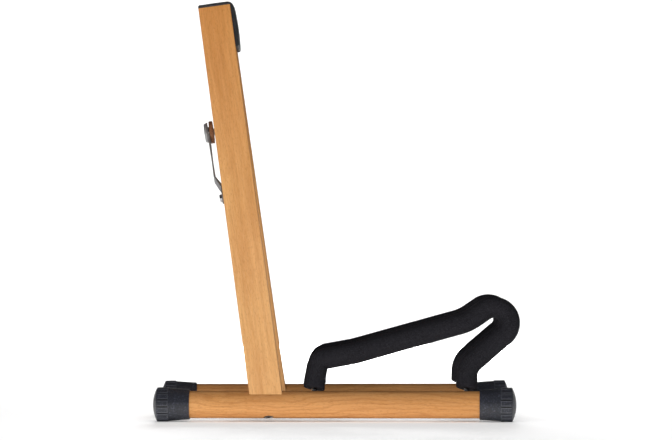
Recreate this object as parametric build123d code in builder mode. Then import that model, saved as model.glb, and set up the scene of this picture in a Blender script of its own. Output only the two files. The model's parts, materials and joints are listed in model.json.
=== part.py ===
from build123d import *
from math import atan, cos, degrees, radians, sin, sqrt, tan
import os

# Folding A-frame guitar rack: two mirrored side frames hinged together at the top.
# Every frame is drawn flat, in its own frame coordinates: X runs forward along the base
# rail, Z runs up in the frame's plane, Y points to the other frame, and the origin is where
# the rail's axis meets the upright's axis. The frames are then placed at their open angle.
# All lengths are millimetres and all angles are degrees.

# ---- driving dimensions: stance ----
LEAN_BACK = 7.9            # rearward lean of the uprights, seen from the side
HALF_OPENING = 13.0        # angle of each frame from the middle plane when open

# ---- driving dimensions: base rail and caps ----
RAIL_RADIUS = 15.0
REAR_REACH = 126.0         # upright's axis to the rear tip of the base
FRONT_REACH = 274.0        # upright's axis to the front tip of the base
CAP_LENGTH = 40.5
CAP_WALL = 5.5
CAP_RING_WIDTH = 11.6
CAP_RING_RADIUS = 19.0
CAP_SLEEVE_RADIUS = 18.2   # where the sleeve meets the ring
CAP_MOUTH_RADIUS = 16.6    # at the sleeve's open end
CAP_NOSE_WIDTH = 5.4
CAP_GROOVES = 15
CAP_GROOVE_WIDTH = 1.9
CAP_GROOVE_DEPTH = 1.1
SOLE_HEIGHT = 18.5         # rail's axis above the floor, on the caps' flat soles
FIT_GAP = 0.05             # radial gap of a snug fit
BASE_SETBACK = 2.38        # the arms' loops overhang the base, so the base sits back

# ---- driving dimensions: upright and its bolt ----
UPRIGHT_WIDTH = 36.0
UPRIGHT_THICKNESS = 24.0
UPRIGHT_TOP = 456.2        # from the rail's axis, along the upright
UPRIGHT_EDGE = 1.2
BOLT_RADIUS = 3.0
BOLT_HEAD_RADIUS = 5.0
BOLT_HEAD_HEIGHT = 6.0
BOLT_REACH = 62.0
BOLT_CLEARANCE = 3.3
COUNTERBORE_RADIUS = 6.5
COUNTERBORE_FLOOR = 7.0    # below the rail's axis
WASHER_RADIUS = 6.2
WASHER_THICKNESS = 1.5
INSERT_RADIUS = 4.5
INSERT_START = 32.0
INSERT_END = 52.0

# ---- driving dimensions: padded arm ----
ROD_RADIUS = 3.0
FOAM_RADIUS = 11.8
FOAM_START = 16.0          # foam's cut ends above the rail's axis
ROD_END = -2.0
ARM_POINTS = [(51.4, 24.0), (55.6, 50.2), (95.0, 57.5), (220.2, 93.2), (266.3, 125.5), (266.3, 83.6), (219.3, 42.2)]
ARM_RADII = [26.0, 12.3, 60.0, 55.0, 17.3, 17.3, 24.0]
ARM_REAR_X = 51.4
ARM_FRONT_X = 219.3

# ---- driving dimensions: top pad ----
PAD_TOP = 4.0
PAD_FRONT = 4.0
PAD_BULGE = 5.2
PAD_LEG_END = 407.0        # lower end of the front leg, from the rail's axis

# ---- driving dimensions: fold hinge ----
PIN_DROP = 9.2             # hinge pin below the upright's top end
PIN_OFFSET = 3.5           # hinge pin to each upright's inner face
PIN_RADIUS = 1.5
KNUCKLE_RADIUS = 3.1
LEAF_THICKNESS = 1.5
LEAF_WIDTH = 30.0
LEAF_HEIGHT = 30.0
KNUCKLE_GAP = 0.35
LEAF_SCREW_RADIUS = 1.6
LEAF_SCREW_HEAD = 3.0
LEAF_SCREW_LENGTH = 17.0

# ---- driving dimensions: rear brace ----
LINK_SCREW_DROP = 208.6    # hinge pin to each link's screw, along the upright
LINK_LENGTH = 98.0
LINK_HALF_WIDTH = 6.5
LINK_THICKNESS = 1.3
LINK_TAB_OFFSET = 0.3      # tab behind the upright's rear face
RIGHT_LINK_OFFSET = 6.9
LEFT_LINK_OFFSET = 8.5
LINK_TAB_END = 12.0        # from the screw, where the step starts
LINK_STEP_END = 29.0
LEFT_EYE_RADIUS = 11.6
LINK_SCREW_RADIUS = 2.2
LINK_SCREW_HEAD = 4.5
LINK_SCREW_HEAD_HEIGHT = 2.7
LINK_SCREW_LENGTH = 24.0
RIVET_RADIUS = 2.5
RIVET_HEAD_RADIUS = 11.0
RIVET_HEAD_START = 10.1
RIVET_HEAD_HEIGHT = 2.7
RIVET_TAIL_RADIUS = 4.0
RIVET_TAIL_START = 1.4
RIVET_SLACK_RADIUS = 4.6   # the left link's hole, which lets the two links settle
DISC_RADIUS = 12.7
DISC_START = 2.5
DISC_END = 6.8
STOP_RADIUS = 1.25
STOP_START = 7.15
STOP_ORBIT = 10.0          # stop pin's centre from the rivet's axis

# ---- where the frames stand when open ----
flat_lean = degrees(atan(tan(radians(LEAN_BACK)) / cos(radians(HALF_OPENING))))
fold_dir = Vector(cos(radians(LEAN_BACK)), 0, sin(radians(LEAN_BACK)))
fold_line = Axis((0, 0, 0), fold_dir)
flat_pitch = radians(LEAN_BACK - flat_lean)
rail_dir = Vector(cos(flat_pitch), 0, sin(flat_pitch)).rotate(fold_line, -HALF_OPENING)
rise_dir = Vector(-sin(flat_pitch), 0, cos(flat_pitch)).rotate(fold_line, -HALF_OPENING)
inner_dir = rise_dir.cross(rail_dir)

along_upright = Vector(-sin(radians(flat_lean)), 0, cos(radians(flat_lean)))
across_upright = Vector(cos(radians(flat_lean)), 0, sin(radians(flat_lean)))
pin_level = UPRIGHT_TOP - PIN_DROP
pin_side = UPRIGHT_THICKNESS / 2 + PIN_OFFSET
pin_in_frame = along_upright * pin_level + Vector(0, pin_side, 0)
pin_arm = rail_dir * pin_in_frame.X + inner_dir * pin_in_frame.Y + rise_dir * pin_in_frame.Z
rail_x = (REAR_REACH - FRONT_REACH) / 2 * rail_dir.X - BASE_SETBACK
rail_point = Vector(rail_x, -pin_arm.Y, SOLE_HEIGHT)
pin_point = rail_point + pin_arm
frame_place = Plane(origin=rail_point, x_dir=rail_dir, z_dir=rise_dir).location

# ---- working planes of one flat frame ----
section_plane = Plane(origin=(0, 0, 0), x_dir=across_upright, z_dir=along_upright)
side_plane = Plane(origin=(0, 0, 0), x_dir=across_upright, z_dir=(0, -1, 0))
inner_face = UPRIGHT_THICKNESS / 2
leaf_face = inner_face + LEAF_THICKNESS
floor_dir = Vector(0, -inner_dir.Z, -rise_dir.Z)

right_pieces = {}
left_pieces = {}
shared_pieces = {}


def both_sides(name, piece):
    """Keep one flat frame piece for the right frame and its mirror image for the left."""
    right_pieces[name] = piece
    left_pieces[name] = piece


# ---- base rail: a round bar with a counterbored bolt hole and two rod sockets ----
rail_start = -REAR_REACH + CAP_WALL
rail_length = REAR_REACH + FRONT_REACH - 2 * CAP_WALL
with BuildPart() as base_rail:
    with BuildSketch(Plane.YZ.offset(rail_start)):
        Circle(RAIL_RADIUS)
    extrude(amount=rail_length)
    chamfer(base_rail.edges().filter_by(GeomType.CIRCLE), 1.0)
    bolt_mouth = along_upright * -(RAIL_RADIUS + 2)
    with Locations(Plane(origin=bolt_mouth, x_dir=(0, 1, 0), z_dir=-along_upright)):
        CounterBoreHole(BOLT_CLEARANCE, COUNTERBORE_RADIUS, RAIL_RADIUS + 2 - COUNTERBORE_FLOOR)
    with BuildSketch(Plane.XY.offset(ROD_END - 0.5)):
        with Locations((ARM_REAR_X, 0), (ARM_FRONT_X, 0)):
            Circle(ROD_RADIUS + 4 * FIT_GAP)
    extrude(amount=RAIL_RADIUS + 5, mode=Mode.SUBTRACT)
both_sides("base_rail", base_rail.part)

# ---- upright: a rectangular bar whose lower end is coped over the rail ----
with BuildPart() as upright:
    with BuildSketch(section_plane):
        Rectangle(UPRIGHT_WIDTH, UPRIGHT_THICKNESS)
    extrude(amount=UPRIGHT_TOP)
    fillet(upright.edges().filter_by(Axis((0, 0, 0), along_upright)), UPRIGHT_EDGE)
    with BuildSketch(Plane.YZ.offset(-UPRIGHT_WIDTH)):
        Circle(RAIL_RADIUS + FIT_GAP)
    extrude(amount=2 * UPRIGHT_WIDTH, mode=Mode.SUBTRACT)
    with BuildSketch(section_plane):
        Circle(BOLT_CLEARANCE)
    extrude(amount=BOLT_REACH + 3, mode=Mode.SUBTRACT)
    with BuildSketch(section_plane):
        Circle(INSERT_RADIUS + FIT_GAP)
    extrude(amount=INSERT_END, mode=Mode.SUBTRACT)
    for screw_level in (pin_level - 11, pin_level - 23):
        screw_mouth = along_upright * screw_level + Vector(0, inner_face, 0)
        with Locations(Plane(origin=screw_mouth, x_dir=across_upright, z_dir=(0, 1, 0))):
            Hole(LEAF_SCREW_RADIUS + FIT_GAP, LEAF_SCREW_LENGTH)
    link_screw_level = pin_level - LINK_SCREW_DROP
    link_mouth = along_upright * link_screw_level - across_upright * (UPRIGHT_WIDTH / 2)
    with Locations(Plane(origin=link_mouth, x_dir=along_upright, z_dir=-across_upright)):
        Hole(LINK_SCREW_RADIUS + FIT_GAP, LINK_SCREW_LENGTH)
both_sides("upright", upright.part)


# ---- end caps: a ribbed ring, a domed nose and a tapered sleeve over the rail's end ----
def build_cap(tip, inward):
    """One cap with its tip at x = tip; inward is +1 or -1, toward the rail's middle."""
    ring_end = tip + inward * (CAP_NOSE_WIDTH + CAP_RING_WIDTH)
    nose_end = tip + inward * CAP_NOSE_WIDTH
    mouth = tip + inward * CAP_LENGTH
    floor = tip + inward * CAP_WALL
    with BuildPart() as cap:
        with BuildSketch(Plane.XZ):
            with BuildLine():
                ThreePointArc((tip, 0), (tip + inward * 1.0, 9), (tip + inward * 4.2, 18))
                nose_corner = (tip + inward * 4.7, CAP_RING_RADIUS)
                Bezier((tip + inward * 4.2, 18), nose_corner, (nose_end, CAP_RING_RADIUS))
                Line((nose_end, CAP_RING_RADIUS), (ring_end, CAP_RING_RADIUS))
                Line((ring_end, CAP_RING_RADIUS), (ring_end, CAP_SLEEVE_RADIUS))
                Line((ring_end, CAP_SLEEVE_RADIUS), (mouth, CAP_MOUTH_RADIUS))
                Line((mouth, CAP_MOUTH_RADIUS), (mouth, RAIL_RADIUS + FIT_GAP))
                Line((mouth, RAIL_RADIUS + FIT_GAP), (floor, RAIL_RADIUS + FIT_GAP))
                Line((floor, RAIL_RADIUS + FIT_GAP), (floor, 0))
                Line((floor, 0), (tip, 0))
            make_face()
        revolve(axis=Axis.X)
        with BuildSketch(Plane.YZ.offset(min(nose_end, ring_end))):
            with PolarLocations(CAP_RING_RADIUS, CAP_GROOVES, start_angle=6.9):
                Rectangle(2 * CAP_GROOVE_DEPTH, CAP_GROOVE_WIDTH)
        extrude(amount=CAP_RING_WIDTH, mode=Mode.SUBTRACT)
        sole_origin = Vector((tip + mouth) / 2, 0, 0) + floor_dir * SOLE_HEIGHT
        with BuildSketch(Plane(origin=sole_origin, x_dir=(1, 0, 0), z_dir=floor_dir)):
            Rectangle(2 * CAP_LENGTH, 2 * CAP_RING_RADIUS)
        extrude(amount=CAP_RING_RADIUS, mode=Mode.SUBTRACT)
    return cap.part


both_sides("front_cap", build_cap(FRONT_REACH, -1))
both_sides("rear_cap", build_cap(-REAR_REACH, 1))


# ---- padded arm: a bent round rod with both ends in the rail, inside a foam tube ----
def arm_path(rear_end, front_end):
    """The arm's centre line, in the frame's own plane, between two end points."""
    points = [rear_end] + ARM_POINTS + [front_end]
    return FilletPolyline(*[(x, 0, z) for x, z in points], radius=ARM_RADII)


with BuildPart() as arm_rod:
    with BuildLine():
        arm_path((ARM_REAR_X, ROD_END), (ARM_FRONT_X, ROD_END))
    with BuildSketch(Plane.XY.offset(ROD_END)):
        with Locations((ARM_REAR_X, 0)):
            Circle(ROD_RADIUS)
    sweep()
both_sides("arm_rod", arm_rod.part)

with BuildPart() as arm_foam:
    with BuildLine():
        arm_path((ARM_REAR_X, FOAM_START), (ARM_FRONT_X, FOAM_START))
    with BuildSketch(Plane.XY.offset(FOAM_START)):
        with Locations((ARM_REAR_X, 0)):
            Circle(FOAM_RADIUS)
            Circle(ROD_RADIUS + 2 * FIT_GAP, mode=Mode.SUBTRACT)
    sweep()
both_sides("arm_foam", arm_foam.part)

# ---- top pad: an L over the upright's end and the top of its front face ----
half_width = UPRIGHT_WIDTH / 2
pad_outer = half_width + PAD_FRONT
pad_crown = UPRIGHT_TOP + PAD_TOP
pad_middle = (PAD_LEG_END + pad_crown) / 2 - 3
with BuildPart() as top_pad:
    with BuildSketch(side_plane):
        with BuildLine():
            Line((-half_width, UPRIGHT_TOP), (half_width, UPRIGHT_TOP))
            Line((half_width, UPRIGHT_TOP), (half_width, PAD_LEG_END))
            Line((half_width, PAD_LEG_END), (pad_outer - 1, PAD_LEG_END))
            leg_end = (pad_outer - 0.2, PAD_LEG_END + 2)
            Line((pad_outer - 1, PAD_LEG_END), leg_end)
            ThreePointArc(leg_end, (half_width + PAD_BULGE, pad_middle), (pad_outer, pad_crown - 7))
            ThreePointArc((pad_outer, pad_crown - 7), (pad_outer - 2, pad_crown - 2), (pad_outer - 7, pad_crown))
            Line((pad_outer - 7, pad_crown), (-half_width + 2, pad_crown))
            Line((-half_width + 2, pad_crown), (-half_width, pad_crown - 2))
            Line((-half_width, pad_crown - 2), (-half_width, UPRIGHT_TOP))
        make_face()
    extrude(amount=UPRIGHT_THICKNESS / 2, both=True)
both_sides("top_pad", top_pad.part)

# ---- upright bolt, its washer and the threaded insert that it pulls on ----
washer_start = -COUNTERBORE_FLOOR - WASHER_THICKNESS
with BuildPart() as upright_bolt:
    with BuildSketch(section_plane.offset(washer_start - BOLT_HEAD_HEIGHT)):
        Circle(BOLT_HEAD_RADIUS)
    extrude(amount=BOLT_HEAD_HEIGHT)
    with BuildSketch(section_plane.offset(washer_start)):
        Circle(BOLT_RADIUS)
    extrude(amount=BOLT_REACH - washer_start)
    with BuildSketch(section_plane.offset(washer_start - BOLT_HEAD_HEIGHT)):
        RegularPolygon(2.9, 6)
    extrude(amount=3.2, mode=Mode.SUBTRACT)
both_sides("upright_bolt", upright_bolt.part)

with BuildPart() as bolt_washer:
    with BuildSketch(section_plane.offset(washer_start)):
        Circle(WASHER_RADIUS)
        Circle(BOLT_CLEARANCE, mode=Mode.SUBTRACT)
    extrude(amount=WASHER_THICKNESS)
both_sides("bolt_washer", bolt_washer.part)

with BuildPart() as threaded_insert:
    with BuildSketch(section_plane.offset(INSERT_START)):
        Circle(INSERT_RADIUS)
        Circle(BOLT_RADIUS + FIT_GAP, mode=Mode.SUBTRACT)
    extrude(amount=INSERT_END - INSERT_START)
both_sides("threaded_insert", threaded_insert.part)

# ---- fold hinge: two leaves on the uprights' inner faces, turning on one pin ----
outer_knuckle = 9.0
middle_knuckle = LEAF_WIDTH / 2 - outer_knuckle - KNUCKLE_GAP
right_knuckles = [(-LEAF_WIDTH / 2, outer_knuckle - LEAF_WIDTH / 2), (LEAF_WIDTH / 2 - outer_knuckle, LEAF_WIDTH / 2)]
left_knuckles = [(-middle_knuckle, middle_knuckle)]


def build_leaf(knuckles):
    """One hinge leaf; each knuckle is a (start, end) span across the upright."""
    leaf_top = pin_level - KNUCKLE_RADIUS - 4 * KNUCKLE_GAP
    with BuildPart() as leaf:
        with BuildSketch(side_plane.offset(-leaf_face)):
            with Locations((0, leaf_top - LEAF_HEIGHT / 2)):
                RectangleRounded(LEAF_WIDTH, LEAF_HEIGHT, 2)
            for start, end in knuckles:
                with Locations(((start + end) / 2, (pin_level + leaf_top) / 2 - 2)):
                    Rectangle(end - start, pin_level - leaf_top + 4)
        extrude(amount=LEAF_THICKNESS)
        for start, end in knuckles:
            knuckle_origin = pin_in_frame + across_upright * start
            with BuildSketch(Plane(origin=knuckle_origin, x_dir=(0, 1, 0), z_dir=across_upright)):
                Circle(KNUCKLE_RADIUS)
            extrude(amount=end - start)
        bore_origin = pin_in_frame - across_upright * LEAF_WIDTH
        with BuildSketch(Plane(origin=bore_origin, x_dir=(0, 1, 0), z_dir=across_upright)):
            Circle(PIN_RADIUS + FIT_GAP)
        extrude(amount=2 * LEAF_WIDTH, mode=Mode.SUBTRACT)
        for level in (pin_level - 11, pin_level - 23):
            hole_mouth = along_upright * level + Vector(0, leaf_face, 0)
            with Locations(Plane(origin=hole_mouth, x_dir=across_upright, z_dir=(0, 1, 0))):
                CounterSinkHole(LEAF_SCREW_RADIUS + FIT_GAP, LEAF_SCREW_HEAD + 2 * FIT_GAP, 5)
    return leaf.part


right_pieces["hinge_leaf"] = build_leaf(right_knuckles)
left_pieces["hinge_leaf"] = build_leaf(left_knuckles)

with BuildPart() as hinge_screws:
    for level in (pin_level - 11, pin_level - 23):
        head_centre = along_upright * level + Vector(0, leaf_face - 0.1, 0)
        head_plane = Plane(origin=head_centre, x_dir=across_upright, z_dir=(0, -1, 0))
        with BuildSketch(head_plane):
            Circle(LEAF_SCREW_HEAD)
        extrude(amount=LEAF_SCREW_HEAD - LEAF_SCREW_RADIUS, taper=45)
        with BuildSketch(head_plane):
            Circle(LEAF_SCREW_RADIUS)
        extrude(amount=LEAF_SCREW_LENGTH)
        with BuildSketch(head_plane):
            Rectangle(3.4, 0.8)
            Rectangle(0.8, 3.4)
        extrude(amount=0.9, mode=Mode.SUBTRACT)
both_sides("hinge_screws", hinge_screws.part)

pin_plane = Plane(origin=pin_point, x_dir=(0, 1, 0), z_dir=fold_dir)
with BuildPart() as hinge_pin:
    with BuildSketch(pin_plane.offset(-LEAF_WIDTH / 2 - 0.5)):
        Circle(PIN_RADIUS)
    extrude(amount=LEAF_WIDTH + 1)
    chamfer(hinge_pin.edges().filter_by(GeomType.CIRCLE), 0.3)
shared_pieces["hinge_pin"] = hinge_pin.part

# ---- rear brace: two stepped links, each turning on a screw in its own upright ----
with BuildPart() as link_screw:
    head_start = UPRIGHT_WIDTH / 2 + LINK_TAB_OFFSET + LINK_THICKNESS + 0.1
    head_base = along_upright * link_screw_level - across_upright * head_start
    screw_plane = Plane(origin=head_base, x_dir=along_upright, z_dir=-across_upright)
    with BuildSketch(screw_plane):
        Circle(LINK_SCREW_HEAD)
    extrude(amount=LINK_SCREW_HEAD_HEIGHT)
    fillet(link_screw.faces().sort_by(Axis((0, 0, 0), -across_upright))[-1].edges(), 1.3)
    with BuildSketch(screw_plane.offset(LINK_SCREW_HEAD_HEIGHT)):
        Rectangle(4.6, 1.0)
        Rectangle(1.0, 4.6)
    extrude(amount=-1.5, mode=Mode.SUBTRACT)
    with BuildSketch(screw_plane):
        Circle(LINK_SCREW_RADIUS)
    extrude(amount=-(LINK_SCREW_LENGTH + head_start - UPRIGHT_WIDTH / 2 - 1))
both_sides("link_screw", link_screw.part)

half_open = radians(HALF_OPENING)
screw_y = LINK_SCREW_DROP * sin(half_open) + pin_side * cos(half_open)
screw_up = pin_side * sin(half_open) - LINK_SCREW_DROP * cos(half_open)
rivet_up = screw_up + sqrt(LINK_LENGTH**2 - screw_y**2)
rear_plane = pin_plane.offset(-UPRIGHT_WIDTH / 2)
screw_foot = Vector(-screw_y, screw_up)
link_run = (Vector(0, rivet_up) - screw_foot).normalized()


def build_link(side, main_offset, eye_radius, eye_hole):
    """One link, cut from a stepped strip; side is -1 on the right frame and +1 on the left."""
    foot = Vector(side * screw_y, screw_up)
    run = Vector(-side * link_run.X, link_run.Y)
    link_plane = Plane(
        origin=rear_plane.from_local_coords(foot),
        x_dir=rear_plane.from_local_coords(foot + run) - rear_plane.from_local_coords(foot),
        z_dir=fold_dir,
    )
    strip_plane = Plane(origin=link_plane.origin, x_dir=link_plane.x_dir, z_dir=link_plane.y_dir)
    start = -LINK_HALF_WIDTH
    end = LINK_LENGTH + eye_radius
    low = LINK_TAB_OFFSET
    rise = main_offset - LINK_TAB_OFFSET
    lower = [(start, low), (LINK_TAB_END, low), (LINK_STEP_END, low + rise), (end, low + rise)]
    upper = [(x, h + LINK_THICKNESS) for x, h in reversed(lower)]
    # the strip's local y runs toward the upright or away from it, by the side it is on
    away = -1 if strip_plane.y_dir.dot(fold_dir) > 0 else 1
    with BuildPart() as link:
        with BuildSketch(strip_plane):
            with BuildLine():
                outline = [(x, away * h) for x, h in lower + upper]
                FilletPolyline(*outline, radius=[0, 2.5, 4, 0, 0, 4, 2.5, 0], close=True)
            make_face()
        extrude(amount=eye_radius, both=True)
        with BuildSketch(link_plane.offset(-40)):
            Circle(LINK_HALF_WIDTH)
            with Locations((LINK_LENGTH / 2, 0)):
                Rectangle(LINK_LENGTH, 2 * LINK_HALF_WIDTH)
            with Locations((LINK_LENGTH, 0)):
                Circle(eye_radius)
        extrude(amount=80, mode=Mode.INTERSECT)
        with BuildSketch(link_plane.offset(-40)):
            Circle(LINK_SCREW_RADIUS + FIT_GAP)
            with Locations((LINK_LENGTH, 0)):
                Circle(eye_hole)
        extrude(amount=80, mode=Mode.SUBTRACT)
    return link.part


right_link = build_link(-1, RIGHT_LINK_OFFSET, LINK_HALF_WIDTH, RIVET_RADIUS + FIT_GAP)
left_link = build_link(1, LEFT_LINK_OFFSET, LEFT_EYE_RADIUS, RIVET_SLACK_RADIUS)

# ---- centre of the brace: rivet and disc ride on the right link, stop pin on the left ----
rivet_plane = Plane(origin=rear_plane.from_local_coords(Vector(0, rivet_up)), x_dir=(0, 1, 0), z_dir=-fold_dir)
with BuildPart() as brace_rivet:
    with BuildSketch(rivet_plane.offset(RIVET_TAIL_START)):
        Circle(RIVET_TAIL_RADIUS)
    extrude(amount=DISC_START - RIVET_TAIL_START)
    with BuildSketch(rivet_plane.offset(RIVET_TAIL_START)):
        Circle(RIVET_RADIUS)
    extrude(amount=RIVET_HEAD_START - RIVET_TAIL_START + 1)
    with BuildSketch(rivet_plane.offset(RIVET_HEAD_START)):
        Circle(RIVET_HEAD_RADIUS)
    extrude(amount=RIVET_HEAD_HEIGHT)
    fillet(brace_rivet.faces().sort_by(Axis((0, 0, 0), -fold_dir))[-1].edges(), 2.2)
shared_pieces["brace_rivet"] = brace_rivet.part

with BuildPart() as brace_disc:
    with BuildSketch(rivet_plane.offset(DISC_START)):
        Circle(DISC_RADIUS)
        Circle(RIVET_RADIUS + FIT_GAP, mode=Mode.SUBTRACT)
    extrude(amount=DISC_END - DISC_START)
    fillet(brace_disc.edges().filter_by(GeomType.CIRCLE).group_by(SortBy.RADIUS)[-1], 0.8)
shared_pieces["brace_disc"] = brace_disc.part

# the stop pin bears on the upper edge of the right link when the rack is open
stop_side = LINK_HALF_WIDTH + STOP_RADIUS + FIT_GAP
stop_back = sqrt(STOP_ORBIT**2 - stop_side**2)
edge_normal = Vector(-link_run.Y, link_run.X)
stop_centre = Vector(0, rivet_up) - link_run * stop_back + edge_normal * stop_side
stop_plane = Plane(origin=rear_plane.from_local_coords(stop_centre), x_dir=(0, 1, 0), z_dir=-fold_dir)
with BuildPart() as stop_pin:
    with BuildSketch(stop_plane.offset(STOP_START)):
        Circle(STOP_RADIUS)
    extrude(amount=LEFT_LINK_OFFSET - STOP_START)
shared_pieces["stop_pin"] = stop_pin.part

# ---- placing, naming and writing every piece ----
os.makedirs("parts", exist_ok=True)


def write_piece(name, piece):
    """Label one finished solid or group of solids and write it as its own file."""
    piece.label = name
    export_step(piece, f"parts/{name}.step")


for name, piece in right_pieces.items():
    write_piece(f"right_{name}", piece.moved(frame_place))
for name, piece in left_pieces.items():
    write_piece(f"left_{name}", mirror(piece.moved(frame_place), about=Plane.XZ))
write_piece("right_brace_link", right_link)
write_piece("left_brace_link", left_link)
for name, piece in shared_pieces.items():
    write_piece(name, piece)

print("hinge pin", pin_point, "fold axis", fold_dir)
print("rail point", rail_point, "rail direction", rail_dir)
print("link screw in the fold plane", screw_y, screw_up, "rivet up", rivet_up)
print("right link screw", rear_plane.from_local_coords(screw_foot))
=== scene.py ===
import json
from math import atan, ceil, cos, pi, radians, sin, sqrt, tan

import bpy
from mathutils import Matrix, Quaternion, Vector, noise


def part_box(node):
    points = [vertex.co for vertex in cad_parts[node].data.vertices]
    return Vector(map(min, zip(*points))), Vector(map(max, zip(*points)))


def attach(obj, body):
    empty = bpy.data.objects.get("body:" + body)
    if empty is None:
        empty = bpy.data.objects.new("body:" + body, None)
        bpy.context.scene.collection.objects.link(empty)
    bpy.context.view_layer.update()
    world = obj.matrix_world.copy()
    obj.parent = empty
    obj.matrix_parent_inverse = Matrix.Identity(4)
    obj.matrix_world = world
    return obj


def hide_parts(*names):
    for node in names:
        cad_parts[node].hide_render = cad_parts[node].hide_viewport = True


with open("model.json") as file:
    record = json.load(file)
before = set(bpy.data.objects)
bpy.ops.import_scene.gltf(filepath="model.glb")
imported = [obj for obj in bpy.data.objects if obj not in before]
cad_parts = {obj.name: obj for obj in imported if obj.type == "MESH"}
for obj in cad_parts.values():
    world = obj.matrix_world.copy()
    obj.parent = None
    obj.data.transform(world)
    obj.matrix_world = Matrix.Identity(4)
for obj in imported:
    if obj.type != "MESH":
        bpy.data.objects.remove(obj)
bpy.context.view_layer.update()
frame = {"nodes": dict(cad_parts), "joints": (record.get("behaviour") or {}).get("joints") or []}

nodes = frame["nodes"]

# ---- the rack's stance, in metres and degrees, as the CAD model has it ----
LEAN_BACK = radians(7.9)
HALF_OPENING = radians(13.0)
UPRIGHT_TOP = 0.4562
UPRIGHT_WIDTH = 0.036
UPRIGHT_THICKNESS = 0.024
PIN_LEVEL = UPRIGHT_TOP - 0.0092
PIN_SIDE = UPRIGHT_THICKNESS / 2 + 0.0035
MM = 0.001

# ---- the grooves round each end cap's ring, as the CAD model has them ----
RIB_COUNT = 15
RIB_START = 6.9            # degrees from the inward direction up to one groove
CAP_RADIUS = 0.019
RAIL_MIDDLE = 0.074        # along the rail, halfway between its caps
RING_INNER = 0.183         # from the rail's middle to the ring's inner edge
RING_OUTER = 0.1946
GROOVE_FLOOR = 0.85 * MM   # half a groove's width, at its floor
GROOVE_MOUTH = 1.0 * MM
RIB_HIGHLIGHT_OFFSET = 1.35 * MM    # from a groove's middle to the middle of the painted highlight beside it

# ---- the tree's growth rings in the beech ----
PITH_OFFSET = (0.0, -0.035, 0.052)   # along, across and through the bar
RING_SPACING = 0.0046
RING_WANDER = 0.030
RING_RIPPLE = 0.0035

joints = {joint["name"]: joint for joint in frame["joints"]}
fold_pin = Vector(joints["fold"]["pos_m"])
fold_axis = Vector(joints["fold"]["axis"]).normalized()


class SideFrame:
    """One flat side frame: turns its own coordinates (x forward, y inward, z up) into the row's."""

    def __init__(self, side):
        self.side = side
        self.name = "right" if side < 0 else "left"
        self.body = f"{self.name}_frame"
        flat_lean = atan(tan(LEAN_BACK) / cos(HALF_OPENING))
        pitch = LEAN_BACK - flat_lean
        open_turn = Quaternion(fold_axis, side * HALF_OPENING)
        self.rail_dir = open_turn @ Vector((cos(pitch), 0, sin(pitch)))
        self.rise_dir = open_turn @ Vector((-sin(pitch), 0, cos(pitch)))
        self.inner_dir = -side * self.rise_dir.cross(self.rail_dir)
        self.along = self.rail_dir * -sin(flat_lean) + self.rise_dir * cos(flat_lean)
        self.across = self.rail_dir * cos(flat_lean) + self.rise_dir * sin(flat_lean)
        self.origin = fold_pin - self.along * PIN_LEVEL - self.inner_dir * PIN_SIDE

    def place(self, x, y, z):
        """A point given along the rail, inward and up."""
        return self.origin + self.rail_dir * x + self.inner_dir * y + self.rise_dir * z

    def place_on_upright(self, across, y, along):
        """A point given across the upright, inward and along the upright."""
        return self.origin + self.across * across + self.inner_dir * y + self.along * along


right = SideFrame(-1)
left = SideFrame(1)


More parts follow.
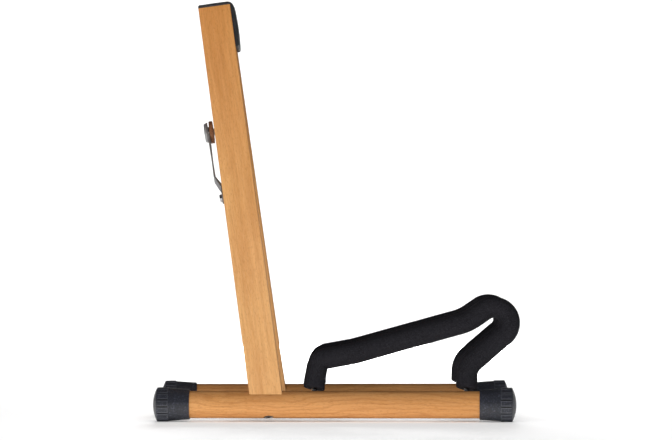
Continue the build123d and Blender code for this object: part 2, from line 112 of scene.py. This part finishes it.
# ---- material building ----
class Paint:
    """A material's node tree, with short calls for the nodes that the recipes below need."""

    def __init__(self, name):
        self.material = bpy.data.materials.new(name)
        self.material.use_nodes = True
        self.tree = self.material.node_tree
        self.shader = self.tree.nodes["Principled BSDF"]
        self.position = self.add("ShaderNodeTexCoord").outputs["Object"]

    def add(self, kind, links=None, **settings):
        made = self.tree.nodes.new(kind)
        for key, value in settings.items():
            setattr(made, key, value)
        for socket, value in (links or {}).items():
            self.feed(made.inputs[socket], value)
        return made

    def feed(self, socket, value):
        if isinstance(value, bpy.types.NodeSocket):
            self.tree.links.new(value, socket)
        else:
            socket.default_value = value

    def set(self, **values):
        for key, value in values.items():
            self.feed(self.shader.inputs[key.replace("_", " ")], value)

    def stretched(self, source, scale):
        return self.vector_math("MULTIPLY", source, scale)

    def noise(self, vector, scale, detail=3.0, roughness=0.5, distortion=0.0):
        links = {"Vector": vector, "Scale": scale, "Detail": detail}
        links |= {"Roughness": roughness, "Distortion": distortion}
        return self.add("ShaderNodeTexNoise", links).outputs["Fac"]

    def cells(self, vector, scale):
        made = self.add("ShaderNodeTexVoronoi", {"Vector": vector, "Scale": scale}, feature="F1")
        return made.outputs["Distance"]

    def spread(self, value, low, high, out_low=0.0, out_high=1.0):
        links = {"Value": value, "From Min": low, "From Max": high}
        links |= {"To Min": out_low, "To Max": out_high}
        return self.add("ShaderNodeMapRange", links, clamp=True).outputs[0]

    def blend(self, factor, first, second, mode="MIX"):
        mixer = self.add("ShaderNodeMix", data_type="RGBA", blend_type=mode)
        for index, value in ((0, factor), (6, first), (7, second)):
            self.feed(mixer.inputs[index], value)
        return mixer.outputs[2]

    def vector_math(self, operation, first, second):
        made = self.add("ShaderNodeVectorMath", {0: first, 1: second}, operation=operation)
        return made.outputs[0]

    def dot(self, first, second):
        made = self.add("ShaderNodeVectorMath", {0: first, 1: second}, operation="DOT_PRODUCT")
        return made.outputs["Value"]

    def length(self, vector):
        return self.add("ShaderNodeVectorMath", {0: vector}, operation="LENGTH").outputs["Value"]

    def math(self, operation, first, second=0.0):
        return self.add("ShaderNodeMath", {0: first, 1: second}, operation=operation).outputs[0]

    def bump(self, height, strength, distance, normal=None):
        links = {"Height": height, "Strength": strength, "Distance": distance}
        if normal is not None:
            links["Normal"] = normal
        return self.add("ShaderNodeBump", links).outputs[0]

    def turned(self, origin, axes):
        """Coordinates measured from origin along three given axes, in metres."""
        moved = self.vector_math("SUBTRACT", self.position, origin)
        parts = {socket: self.dot(moved, axis) for socket, axis in zip("XYZ", axes)}
        return self.add("ShaderNodeCombineXYZ", parts).outputs[0]


def rgb(red, green, blue):
    return (red, green, blue, 1.0)


WOOD_PALE = rgb(0.66, 0.325, 0.112)
WOOD_TAN = rgb(0.53, 0.232, 0.068)
WOOD_STREAK = rgb(0.44, 0.185, 0.058)
WOOD_FIBRE = rgb(0.78, 0.49, 0.235)
WOOD_PATCH = rgb(0.60, 0.27, 0.115)
WOOD_RING = rgb(0.36, 0.135, 0.040)
WOOD_FLECK = rgb(0.27, 0.10, 0.032)
# painted light on the uprights: lighter and paler at the lower end, darker and warmer at the upper
# end, as if lit from below
UPRIGHT_PAINTED_LIGHT = (rgb(1.20, 1.33, 1.50), rgb(0.96, 0.86, 0.71))
PAINTED_LIGHT_SPAN = (0.14, 0.50)   # heights on the bar between which its painted light changes

FOAM_BODY = rgb(0.030, 0.029, 0.034)
FOAM_PIT = rgb(0.010, 0.0095, 0.0115)
# painted highlight: the light specks on the foam stand in for glints
FOAM_GLINT = rgb(0.088, 0.086, 0.100)
FOAM_CLOUD = rgb(0.020, 0.0195, 0.023)

# dark, light and speck tones of each moulded rubber; on the caps the bluish speck tone is a painted
# glint of sheen
PAD_TONES = (rgb(0.012, 0.012, 0.013), rgb(0.022, 0.022, 0.024), rgb(0.050, 0.049, 0.052))
CAP_TONES = (rgb(0.012, 0.013, 0.017), rgb(0.026, 0.028, 0.038), rgb(0.085, 0.092, 0.125))
RUBBER_SCUFF = rgb(0.055, 0.056, 0.062)
# painted highlight for the lit edges of the cap ribs, and painted shade for their grooves
RUBBER_RIB_HIGHLIGHT = rgb(0.150, 0.156, 0.180)
RUBBER_GROOVE_SHADE = rgb(0.004, 0.004, 0.005)

DISC_LIGHT = rgb(0.27, 0.120, 0.052)
DISC_DARK = rgb(0.120, 0.047, 0.022)
DISC_RING_RATE = 9000.0    # radians per metre of radius, so a ring each 0.7 mm


def growth_rings(paint, grain):
    """Thin dark lines where the bar cuts the tree's rings, wandering along the grain."""
    wander = paint.noise(paint.stretched(grain, (7.0, 30.0, 30.0)), 1.0, 2.0, 0.5)
    ripple = paint.noise(paint.stretched(grain, (55.0, 160.0, 160.0)), 1.0, 2.0, 0.5)
    from_pith = paint.vector_math("SUBTRACT", grain, PITH_OFFSET)
    radius = paint.length(paint.stretched(from_pith, (0.0, 1.0, 1.0)))
    radius = paint.math("ADD", radius, paint.math("MULTIPLY", wander, RING_WANDER))
    radius = paint.math("ADD", radius, paint.math("MULTIPLY", ripple, RING_RIPPLE))
    wave = paint.math("SINE", paint.math("MULTIPLY", radius, 2 * pi / RING_SPACING))
    return paint.spread(wave, 0.35, 1.0)


def beech(name, origin, axes, shift, ring_depth, fleck_depth, painted_light=None):
    """Satin beech, its grain along the first of three axes; shift gives each bar its own timber.

    painted_light, if given, holds two tints that paint light and shade on the bar, multiplying its
    colour from its lower end to its upper end.
    """
    paint = Paint(name)
    grain = paint.turned(origin - axes[0] * shift, axes)
    bands = paint.noise(paint.stretched(grain, (5.0, 75.0, 75.0)), 1.0, 4.0, 0.55, 0.6)
    streaks = paint.noise(paint.stretched(grain, (22.0, 520.0, 520.0)), 1.0, 3.0, 0.6, 0.2)
    fibres = paint.noise(paint.stretched(grain, (120.0, 2600.0, 2600.0)), 1.0, 2.0, 0.6)
    patches = paint.noise(grain, 9.0, 2.0)
    flecks = paint.noise(paint.stretched(grain, (270.0, 900.0, 900.0)), 1.0, 1.0, 0.5)
    fleck_mask = paint.spread(flecks, 0.56, 0.68)
    rings = growth_rings(paint, grain)
    base = paint.blend(paint.spread(bands, 0.36, 0.66), WOOD_PALE, WOOD_TAN)
    base = paint.blend(paint.spread(streaks, 0.42, 0.72, 0.0, 0.5), base, WOOD_STREAK)
    base = paint.blend(paint.spread(fibres, 0.35, 0.75, 0.0, 0.28), base, WOOD_FIBRE)
    base = paint.blend(paint.spread(patches, 0.35, 0.7, 0.0, 0.22), base, WOOD_PATCH)
    base = paint.blend(paint.math("MULTIPLY", rings, ring_depth), base, WOOD_RING)
    base = paint.blend(paint.math("MULTIPLY", fleck_mask, fleck_depth), base, WOOD_FLECK)
    # painted light: the bar's colour is multiplied lighter toward its lower end and darker toward its
    # upper end
    if painted_light:
        height = paint.dot(paint.vector_math("SUBTRACT", paint.position, origin), axes[0])
        uneven = paint.math("ADD", height, paint.math("MULTIPLY", patches, 0.08))
        painted_light_tone = paint.blend(paint.spread(uneven, *PAINTED_LIGHT_SPAN), *painted_light)
        base = paint.blend(1.0, base, painted_light_tone, "MULTIPLY")
    paint.set(Base_Color=base, Roughness=paint.spread(streaks, 0.3, 0.75, 0.40, 0.54))
    paint.set(Coat_Weight=0.2, Coat_Roughness=0.38, Specular_IOR_Level=0.0)
    relief = paint.math("SUBTRACT", fibres, paint.math("MULTIPLY", fleck_mask, 0.8))
    paint.set(Normal=paint.bump(relief, 0.22, 0.00012))
    return paint.material


def foam():
    """Charcoal closed-cell foam: small cells, painted glints, a faint skin and a matt surface."""
    paint = Paint("charcoal_foam")
    cells = paint.cells(paint.position, 1150.0)
    grain_and_glint = paint.noise(paint.position, 1500.0, 3.0, 0.7)
    cloud = paint.noise(paint.position, 45.0, 3.0, 0.6)
    base = paint.blend(paint.spread(cells, 0.15, 0.6), FOAM_BODY, FOAM_PIT)
    # painted highlight: tiny light specks for glints on the cells
    base = paint.blend(paint.spread(grain_and_glint, 0.56, 0.78, 0.0, 0.75), base, FOAM_GLINT)
    base = paint.blend(paint.spread(cloud, 0.35, 0.7, 0.0, 0.35), base, FOAM_CLOUD)
    paint.set(Base_Color=base, Roughness=paint.spread(grain_and_glint, 0.3, 0.8, 0.74, 0.95))
    paint.set(Specular_IOR_Level=0.12)
    coarse = paint.bump(cells, 0.5, 0.00035)
    paint.set(Normal=paint.bump(grain_and_glint, 0.5, 0.0003, coarse))
    return paint.material


def rib_masks(paint, side_frame):
    """Masks for painted shade in the grooves of both end caps' ribbed rings, and for painted
    highlights on the edges beside them and along the ring's step.
    """
    axes = (side_frame.rail_dir, side_frame.inner_dir, side_frame.rise_dir)
    local = paint.turned(side_frame.origin, axes)
    split = paint.add("ShaderNodeSeparateXYZ", {0: local}).outputs
    angle = paint.math("ARCTAN2", split["Z"], split["Y"])
    from_first = paint.math("SUBTRACT", angle, radians(RIB_START))
    turns = paint.math("MULTIPLY", from_first, RIB_COUNT / (2 * pi))
    phase = paint.math("FRACT", paint.math("ADD", turns, 0.5))
    offset = paint.math("ABSOLUTE", paint.math("SUBTRACT", phase, 0.5))
    arc = paint.math("MULTIPLY", offset, 2 * pi / RIB_COUNT * CAP_RADIUS)
    from_middle = paint.math("ABSOLUTE", paint.math("SUBTRACT", split["X"], RAIL_MIDDLE))
    past_step = paint.spread(from_middle, RING_INNER - 0.1 * MM, RING_INNER + 0.1 * MM)
    past_ring = paint.spread(from_middle, RING_OUTER - 0.2 * MM, RING_OUTER + 0.2 * MM)
    on_ring = paint.math("SUBTRACT", past_step, past_ring)
    # painted shade: the floor of each groove is darkened
    in_groove = paint.spread(arc, GROOVE_FLOOR, GROOVE_MOUTH, 1.0, 0.0)
    groove_shade = paint.math("MULTIPLY", on_ring, in_groove)
    # painted highlight: light lines beside each groove and along the ring's step, where light catches
    # the edges
    from_edge = paint.math("ABSOLUTE", paint.math("SUBTRACT", arc, RIB_HIGHLIGHT_OFFSET))
    beside = paint.spread(from_edge, 0.2 * MM, 0.7 * MM, 1.0, 0.0)
    at_step = paint.math("ABSOLUTE", paint.math("SUBTRACT", from_middle, RING_INNER + 0.3 * MM))
    step_edge = paint.spread(at_step, 0.2 * MM, 0.8 * MM, 1.0, 0.0)
    rib_edge_highlight = paint.math("MULTIPLY", on_ring, beside)
    rib_highlight = paint.math("MAXIMUM", rib_edge_highlight, paint.math("MULTIPLY", step_edge, 0.7))
    return groove_shade, rib_highlight


def moulded_rubber(name, tones, roughness, grain_size, ribs=None):
    """Black moulded rubber: fine matt texture, scuffs and a broad soft sheen.

    ribs, if given, is the side frame whose caps get painted shade in their grooves and painted
    highlights on the edges beside them.
    """
    paint = Paint(name)
    dark, light, speck_and_glint = tones
    fine = paint.noise(paint.position, 1.0 / grain_size, 4.0, 0.65)
    pebbles = paint.cells(paint.position, 0.8 / grain_size)
    scuffs = paint.noise(paint.position, 120.0, 5.0, 0.7, 0.8)
    smears = paint.noise(paint.position, 28.0, 3.0, 0.5)
    base = paint.blend(paint.spread(fine, 0.35, 0.7), dark, light)
    base = paint.blend(paint.spread(scuffs, 0.58, 0.74, 0.0, 0.35), base, RUBBER_SCUFF)
    # light specks; on the caps they are painted glints of the bluish sheen
    specks_and_glints = paint.noise(paint.position, 0.62 / grain_size, 2.0, 0.6)
    base = paint.blend(paint.spread(specks_and_glints, 0.54, 0.70, 0.0, 0.8), base, speck_and_glint)
    if ribs:
        # painted highlight on the cap ribs' edges, then painted shade in their grooves
        groove_shade, rib_highlight = rib_masks(paint, ribs)
        rib_highlight = paint.math("MULTIPLY", rib_highlight, paint.spread(smears, 0.25, 0.75, 0.25, 0.65))
        base = paint.blend(rib_highlight, base, RUBBER_RIB_HIGHLIGHT)
        base = paint.blend(groove_shade, base, RUBBER_GROOVE_SHADE)
    paint.set(Base_Color=base)
    paint.set(Roughness=paint.spread(smears, 0.3, 0.7, roughness - 0.07, roughness + 0.09))
    soft = paint.bump(scuffs, 0.15, 0.0004)
    pebbled = paint.bump(pebbles, 0.55, 0.0004, soft)
    paint.set(Normal=paint.bump(fine, 0.4, 0.0002, pebbled), Specular_IOR_Level=0.75)
    return paint.material


def brushed_metal(name, tone, roughness, direction, metallic=1.0):
    """Plated steel with fine brushing along one direction, dull spots and light scratches."""
    paint = Paint(name)
    side = direction.orthogonal().normalized()
    local = paint.turned(Vector((0, 0, 0)), (direction, side, direction.cross(side)))
    brushing = paint.noise(paint.stretched(local, (60.0, 4200.0, 4200.0)), 1.0, 3.0, 0.6)
    spots = paint.noise(paint.position, 260.0, 4.0, 0.6)
    dull = rgb(tone[0] * 0.72, tone[1] * 0.72, tone[2] * 0.74)
    base = paint.blend(paint.spread(spots, 0.4, 0.7, 0.0, 0.7), rgb(*tone), dull)
    bright = rgb(*[value * 1.15 for value in tone])
    base = paint.blend(paint.spread(brushing, 0.3, 0.7, 0.0, 0.25), base, bright)
    paint.set(Base_Color=base, Metallic=metallic)
    paint.set(Roughness=paint.spread(brushing, 0.3, 0.75, roughness - 0.05, roughness + 0.14))
    paint.set(Normal=paint.bump(brushing, 0.18, 0.00006))
    return paint.material


def brown_disc():
    """Dark brown fibre disc with faint turned rings."""
    paint = Paint("brown_fibre")
    centre = sum((Vector(corner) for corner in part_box("brace_disc")), Vector()) / 2
    sideways = Vector((0, 1, 0))
    local = paint.turned(centre, (sideways, fold_axis.cross(sideways), fold_axis))
    radius = paint.length(paint.stretched(local, (1.0, 1.0, 0.0)))
    rings = paint.math("SINE", paint.math("MULTIPLY", radius, DISC_RING_RATE))
    mottle = paint.noise(paint.position, 420.0, 4.0, 0.65)
    base = paint.blend(paint.spread(mottle, 0.35, 0.7), DISC_LIGHT, DISC_DARK)
    paint.set(Base_Color=base, Roughness=paint.spread(mottle, 0.3, 0.7, 0.38, 0.55))
    paint.set(Normal=paint.bump(rings, 0.12, 0.00006))
    return paint.material


def floor_paper():
    """Pale seamless paper for the floor and backdrop."""
    paint = Paint("pale_paper")
    tooth = paint.noise(paint.position, 400.0, 3.0)
    light, dark = rgb(0.93, 0.93, 0.93), rgb(0.90, 0.90, 0.90)
    paint.set(Base_Color=paint.blend(paint.spread(tooth, 0.3, 0.7), light, dark))
    paint.set(Roughness=0.9, Specular_IOR_Level=0.1)
    return paint.material


def wear(obj, material):
    """Give one object its only material."""
    obj.data.materials.clear()
    obj.data.materials.append(material)


def paint_nodes(names, material):
    for name in names:
        wear(nodes[name], material)


# ---- mesh building ----
def mesh_piece(name, points, faces, material, frame_side, slot, replaced):
    """A smooth-shaded mesh that rides on one side frame and replaces one CAD node."""
    mesh = bpy.data.meshes.new(name)
    mesh.from_pydata([tuple(point) for point in points], [], faces)
    mesh.validate()
    mesh.shade_smooth()
    piece = bpy.data.objects.new(name, mesh)
    bpy.context.scene.collection.objects.link(piece)
    wear(piece, material)
    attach(piece, frame_side.body)
    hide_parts(replaced)
    return piece


# ---- foam arms ----
FOAM_RADIUS = 11.8 * MM
BORE_RADIUS = 3.25 * MM
FOAM_START = 16.0 * MM
ARM_CORNERS = [             # forward and up, in mm, as the CAD rod has them
    (51.4, 24.0), (55.6, 50.2), (95.0, 57.5), (220.2, 93.2),
    (266.3, 125.5), (266.3, 83.6), (219.3, 42.2),
]
ARM_RADII = [26.0, 12.3, 60.0, 55.0, 17.3, 17.3, 24.0]
TUBE_STEP = 1.0 * MM
TUBE_SIDES = 56
CUT_ROUNDING = 0.7 * MM
CUT_SLANT = 4.0 * MM
CUT_REACH = 9.0 * MM
BORE_STRIDE = 6            # stations between the rings of the bore, which the rod hides
EASE_REACH = 5             # stations either side that a bend's curvature is averaged over
DENT = 0.08                # mm, how far the surface sinks everywhere
LUMP = 0.10                # mm, its uneven share
PINCH = 0.30               # mm, how far the inside of the tightest bends sinks
CREASE = 0.26              # mm, the creases there
CREASE_PITCH = 3.4 * MM


def rounded_path(points, radii, step):
    """Stations along straight runs joined by arcs: (point, unit tangent, curvature), in 2-D."""
    stations = []
    here = points[0]
    for index, corner in enumerate(points[1:]):
        before = (corner - here).normalized()
        if index < len(radii):
            after = (points[index + 2] - corner).normalized()
            turn = before.angle_signed(after) * -1
            setback = radii[index] * tan(abs(turn) / 2)
            run_end = corner - before * setback
        else:
            turn = 0.0
            run_end = corner
        run = (run_end - here).length
        count = max(1, ceil(run / step))
        stations += [(here + before * run * i / count, before, 0.0) for i in range(count)]
        if turn:
            side = 1 if turn > 0 else -1
            count = max(2, ceil(abs(turn) * radii[index] / step))
            normal = Vector((-before.y, before.x)) * side
            centre = run_end + normal * radii[index]
            for i in range(count):
                turned = Matrix.Rotation(turn * i / count, 2)
                spoke = -normal
                spoke.rotate(turned)
                tangent = before.copy()
                tangent.rotate(turned)
                stations.append((centre + spoke * radii[index], tangent, side / radii[index]))
            here = corner + after * setback
        else:
            here = run_end
    stations.append((here, before, 0.0))
    return stations


def eased_curvature(stations, reach):
    """Each station's curvature averaged over its neighbours, so the foam's shape changes gently."""
    raw = [curvature for _, _, curvature in stations]
    eased = []
    for index in range(len(raw)):
        low = max(0, index - reach)
        window = raw[low:index + reach + 1]
        eased.append(sum(window) / len(window))
    return eased


def foam_tube(frame_side, seed):
    """The foam tube: a soft round section, pinched and creased on the inside of its bends."""
    corners = [(x * MM, z * MM) for x, z in ARM_CORNERS]
    path = [(corners[0][0], FOAM_START), *corners, (corners[-1][0], FOAM_START)]
    radii = [radius * MM for radius in ARM_RADII]
    stations = rounded_path([Vector(point) for point in path], radii, TUBE_STEP)
    bend = eased_curvature(stations, EASE_REACH)
    last = len(stations) - 1
    rings = []

    def cut_rise(offset, height):
        """How far a point is lifted so that the cut end slants up toward the rear of the rack."""
        above_cut = (height - FOAM_START) / CUT_REACH
        if above_cut >= 1:
            return 0.0
        return CUT_SLANT * (0.5 - 0.5 * offset / FOAM_RADIUS) * (1 - above_cut)

    def ring(index, radius, wavy):
        centre, tangent, _ = stations[index]
        normal = Vector((-tangent.y, tangent.x))
        row = []
        for k in range(TUBE_SIDES):
            angle = 2 * pi * k / TUBE_SIDES
            reach = radius
            if wavy:
                inside = max(0.0, cos(angle) * bend[index] * FOAM_RADIUS)
                drift = Vector((centre.x * 38, centre.y * 38, seed + sin(angle) * 0.8))
                lump = noise.noise(drift) + 0.5 * noise.noise(drift * 3.1)
                crease = sin(index * TUBE_STEP * 2 * pi / CREASE_PITCH + 3 * sin(angle))
                reach -= (DENT + LUMP * lump) * MM + inside * (PINCH + CREASE * crease) * MM
            flat = centre + normal * reach * cos(angle)
            lifted = flat.y + cut_rise(flat.x - centre.x, flat.y)
            row.append(frame_side.place(flat.x, reach * sin(angle), lifted))
        rings.append(row)

    for index in range(last + 1):
        ring(index, FOAM_RADIUS, True)
    for row in (rings[0], rings[-1]):
        centre = sum(row, Vector()) / TUBE_SIDES
        for k in range(TUBE_SIDES):
            row[k] = centre + (row[k] - centre) * (1 - CUT_ROUNDING / FOAM_RADIUS)
    inner = list(range(last, -1, -BORE_STRIDE))
    if inner[-1] != 0:
        inner.append(0)
    for index in inner:
        ring(index, BORE_RADIUS, False)

    verts = [point for row in rings for point in row]
    faces = []
    total = len(rings)
    for row in range(total):
        low, high = row * TUBE_SIDES, (row + 1) % total * TUBE_SIDES
        for k in range(TUBE_SIDES):
            near = (k + 1) % TUBE_SIDES
            quad = (low + k, low + near, high + near, high + k)
            faces.append(quad if frame_side.side > 0 else quad[::-1])
    side = frame_side.name
    shape = (f"{side}_foam_tube", verts, faces)
    tube = mesh_piece(*shape, foam_material, frame_side, "arm_foam", f"{side}_arm_foam")


# ---- top pads ----
PAD_TOP = 4.0 * MM
PAD_FRONT = 4.0 * MM
PAD_BULGE = 5.1 * MM
PAD_LEG_END = 0.407
PAD_ROUNDING = 1.4 * MM
PAD_GAP = 0.02 * MM
PAD_INSET = 3.5 * MM       # how far the bent corner's centre lies inside the upright's corner
PAD_THINNEST = 0.5 * MM
PAD_COLUMNS = 24
LIP_HEIGHT = 0.9 * MM      # the rounding at the front leg's lower end
LIP_DEPTH = 0.8 * MM
TOP_STEPS = 18
CORNER_STEPS = 15
LEG_STEPS = 40


def rounding(edge, depth):
    """How far a surface falls near a quarter-round edge; edge runs from 0 at the edge to 1."""
    return depth * (1 - sqrt(max(0.0, 1 - (1 - edge) ** 2)))


def pad_profile():
    """Pairs of (inner, outer) points round the L, from the rear edge to the front leg's lower end."""
    half = UPRIGHT_WIDTH / 2
    crown = UPRIGHT_TOP + PAD_TOP
    pairs = []
    for i in range(TOP_STEPS + 1):
        x = -half + (2 * half - PAD_INSET) * (i / TOP_STEPS)
        drop = rounding(min(1.0, (x + half) / PAD_ROUNDING), PAD_ROUNDING)
        pairs.append(((x, UPRIGHT_TOP), (x, crown - drop)))
    corner_radius = PAD_TOP + PAD_INSET
    pivot_x, pivot_z = half - PAD_INSET, UPRIGHT_TOP - PAD_INSET
    for i in range(1, CORNER_STEPS + 1):
        angle = pi / 2 * (1 - i / CORNER_STEPS)
        reach = PAD_INSET / max(cos(angle), sin(angle))
        inner = (pivot_x + reach * cos(angle), pivot_z + reach * sin(angle))
        outer = (pivot_x + corner_radius * cos(angle), pivot_z + corner_radius * sin(angle))
        pairs.append((inner, outer))
    leg = UPRIGHT_TOP - PAD_INSET - PAD_LEG_END
    for i in range(1, LEG_STEPS + 1):
        t = i / LEG_STEPS
        z = UPRIGHT_TOP - PAD_INSET - leg * t
        thick = PAD_FRONT + (PAD_BULGE - PAD_FRONT) * sin(pi * t) ** 0.8
        thick -= rounding(min(1.0, (z - PAD_LEG_END) / LIP_HEIGHT), LIP_DEPTH)
        pairs.append(((half, z), (half + thick, z)))
    return pairs


def top_pad(frame_side, seed):
    """A soft L-shaped pad, crowned across its width and rounded on its outer edges."""
    pairs = pad_profile()
    half_depth = UPRIGHT_THICKNESS / 2
    verts = []
    for column in range(PAD_COLUMNS + 1):
        y = half_depth * sin(pi * (column / PAD_COLUMNS - 0.5))
        pull = rounding(min(1.0, (half_depth - abs(y)) / PAD_ROUNDING), PAD_ROUNDING)
        for (ix, iz), (ox, oz) in pairs:
            thick = Vector((ox - ix, oz - iz))
            length = thick.length
            drift = Vector((ox * 90, y * 120, oz * 90 + seed))
            wave = 0.18 * MM * (noise.noise(drift) - 0.5)
            outward = thick / length if length > 0 else Vector((0, 0))
            keep = max(PAD_THINNEST, length - pull + min(0.0, wave))
            start = Vector((ix, iz)) + outward * PAD_GAP
            end = Vector((ix, iz)) + outward * keep
            verts.append(frame_side.place_on_upright(start.x, y, start.y))
            verts.append(frame_side.place_on_upright(end.x, y, end.y))
    count = len(pairs)
    stride = 2 * count
    faces = []
    for column in range(PAD_COLUMNS):
        low, high = column * stride, (column + 1) * stride
        for i in range(count - 1):
            a, b = 2 * i, 2 * i + 2
            faces.append((low + a + 1, low + b + 1, high + b + 1, high + a + 1))
            faces.append((low + b, low + a, high + a, high + b))
        faces.append((low, low + 1, high + 1, high))
        tip = 2 * (count - 1)
        faces.append((low + tip + 1, low + tip, high + tip, high + tip + 1))
    for column, flip in ((0, False), (PAD_COLUMNS, True)):
        base = column * stride
        for i in range(count - 1):
            quad = (base + 2 * i, base + 2 * i + 2, base + 2 * i + 3, base + 2 * i + 1)
            faces.append(quad[::-1] if flip else quad)
    if frame_side.side < 0:
        faces = [face[::-1] for face in faces]
    side = frame_side.name
    shape = (f"{side}_soft_top_pad", verts, faces)
    pad = mesh_piece(*shape, pad_material, frame_side, "pad_rubber", f"{side}_top_pad")


# ---- stage, light and camera ----
WORLD_GLOW = 0.06
CAMERA_DISTANCE = 5.03
CAMERA_X = 0.0168
CAMERA_HEIGHT = 0.2095
CAMERA_LENS = 239.2        # mm, on a sensor 36 mm wide
SENSOR_WIDTH = 36.0
FAR_CLIP = 50.0
CAMERA_SHIFT = (-0.0238, 0.0164)


def build_stage():
    """A seamless floor that curves up into a backdrop."""
    half, front, back, height, curve = 6.0, -7.0, 5.0, 1.2, 0.6
    profile = [(front, 0.0), (back - curve, 0.0)]
    for degrees in range(6, 90, 6):
        angle = radians(degrees)
        profile.append((back - curve + curve * sin(angle), curve - curve * cos(angle)))
    profile += [(back, curve), (back, height)]
    verts = [(x, y, z) for y, z in profile for x in (-half, half)]
    faces = [(2 * i, 2 * i + 1, 2 * i + 3, 2 * i + 2) for i in range(len(profile) - 1)]
    mesh = bpy.data.meshes.new("seamless_floor")
    mesh.from_pydata(verts, [], faces)
    mesh.shade_smooth()
    floor = bpy.data.objects.new("seamless_floor", mesh)
    bpy.context.scene.collection.objects.link(floor)
    wear(floor, floor_paper())


def softbox(name, place, target, size, power, spread=180.0):
    """A rectangular lamp at place, facing target."""
    lamp = bpy.data.lights.new(name, "AREA")
    lamp.shape = "RECTANGLE"
    lamp.size, lamp.size_y = size
    lamp.energy = power
    lamp.spread = radians(spread)
    holder = bpy.data.objects.new(name, lamp)
    holder.location = place
    holder.rotation_euler = (Vector(target) - Vector(place)).to_track_quat("-Z", "Y").to_euler()
    bpy.context.scene.collection.objects.link(holder)
    return holder


def build_light():
    """One low softbox for the rack, and four lamps that light only the pale floor behind it."""
    world = bpy.data.worlds.new("studio")
    world.use_nodes = True
    background = world.node_tree.nodes["Background"].inputs
    background["Color"].default_value = rgb(1.0, 1.0, 1.0)
    background["Strength"].default_value = WORLD_GLOW
    bpy.context.scene.world = world
    bpy.context.scene.view_settings.view_transform = "Standard"
    front = softbox("front_softbox", (-0.35, -2.4, 0.12), (-0.02, -0.1, 0.12), (2.0, 0.22), 44.0)
    front.visible_glossy = False
    floor_only = bpy.data.collections.new("floor_only")
    floor_only.objects.link(bpy.data.objects["seamless_floor"])
    floor_lights = [
        softbox("top_panel", (0.0, -0.9, 1.9), (0.0, -0.9, 0.0), (3.0, 3.0), 48.0),
        softbox("far_panel", (0.0, 3.3, 1.9), (0.0, 3.3, 0.0), (4.0, 3.4), 42.0, 70.0),
        softbox("low_back_panel", (0.0, 3.2, 0.62), (0.0, -0.6, 0.0), (1.0, 0.60), 118.0),
        softbox("back_wash", (0.0, 2.8, 1.2), (0.0, 5.0, 0.5), (4.0, 0.6), 24.0, 140.0),
    ]
    for lamp in floor_lights:
        lamp.light_linking.receiver_collection = floor_only


def build_camera():
    lens = bpy.data.cameras.new("product_camera")
    lens.lens = CAMERA_LENS
    lens.sensor_width = SENSOR_WIDTH
    lens.shift_x, lens.shift_y = CAMERA_SHIFT
    lens.clip_end = FAR_CLIP
    camera = bpy.data.objects.new("product_camera", lens)
    camera.location = (CAMERA_X, -CAMERA_DISTANCE, CAMERA_HEIGHT)
    camera.rotation_euler = (radians(90), 0, 0)
    bpy.context.scene.collection.objects.link(camera)
    bpy.context.scene.camera = camera


build_stage()
build_light()
build_camera()

# ---- materials on the CAD pieces, and the soft pieces that replace four of them ----
LINK_TONE = (0.25, 0.24, 0.235)
RAIL_RINGS, RAIL_FLECKS = 0.30, 0.24          # how dark each bar's rings and flecks are
UPRIGHT_RINGS, UPRIGHT_FLECKS = 0.12, 0.20

foam_material = foam()
pad_material = moulded_rubber("pad_rubber_black", PAD_TONES, 0.55, 0.0007)
zinc = brushed_metal("zinc_plate", (0.62, 0.63, 0.64), 0.30, fold_axis)
hinge_steel = brushed_metal("hinge_plate", (0.55, 0.55, 0.56), 0.34, fold_axis)
rivet_steel = brushed_metal("rivet_plate", (0.46, 0.46, 0.46), 0.36, Vector((0, 0, 1)), 0.6)
rod_chrome = brushed_metal("rod_chrome", (0.72, 0.72, 0.73), 0.16, Vector((0, 0, 1)))
screw_chrome = brushed_metal("screw_chrome", (0.78, 0.78, 0.80), 0.18, Vector((0, 1, 0)))

for index, side_frame in enumerate((right, left)):
    side, origin = side_frame.name, side_frame.origin
    rail_axes = (side_frame.rail_dir, side_frame.inner_dir, side_frame.rise_dir)
    rail_shift = 0.31 + 0.77 * index
    timber = beech(f"{side}_rail_beech", origin, rail_axes, rail_shift, RAIL_RINGS, RAIL_FLECKS)
    wear(nodes[f"{side}_base_rail"], timber)
    bar_axes = (side_frame.along, side_frame.across, side_frame.inner_dir)
    bar_look = (1.9 + 1.13 * index, UPRIGHT_RINGS, UPRIGHT_FLECKS, UPRIGHT_PAINTED_LIGHT)
    wear(nodes[f"{side}_upright"], beech(f"{side}_upright_beech", origin, bar_axes, *bar_look))
    link_start = Vector(joints[f"{side}_link_pivot"]["pos_m"])
    link_run = (Vector(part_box("brace_rivet")[0]) - link_start).normalized()
    link_steel = brushed_metal(f"{side}_link_steel", LINK_TONE, 0.48, link_run, 0.45)
    wear(nodes[f"{side}_brace_link"], link_steel)
    cap_rubber = moulded_rubber(f"{side}_cap_rubber", CAP_TONES, 0.36, 0.0009, side_frame)
    paint_nodes([f"{side}_front_cap", f"{side}_rear_cap"], cap_rubber)
    fixings = ("upright_bolt", "bolt_washer", "threaded_insert", "hinge_screws")
    paint_nodes([f"{side}_{fixing}" for fixing in fixings], zinc)
    paint_nodes([f"{side}_hinge_leaf"], hinge_steel)
    paint_nodes([f"{side}_arm_rod"], rod_chrome)
    paint_nodes([f"{side}_link_screw"], screw_chrome)
    foam_tube(side_frame, 3.7 + 5.1 * index)
    top_pad(side_frame, 1.3 + 2.9 * index)
paint_nodes(["hinge_pin"], hinge_steel)
paint_nodes(["brace_rivet"], rivet_steel)
paint_nodes(["stop_pin"], zinc)
paint_nodes(["brace_disc"], brown_disc())
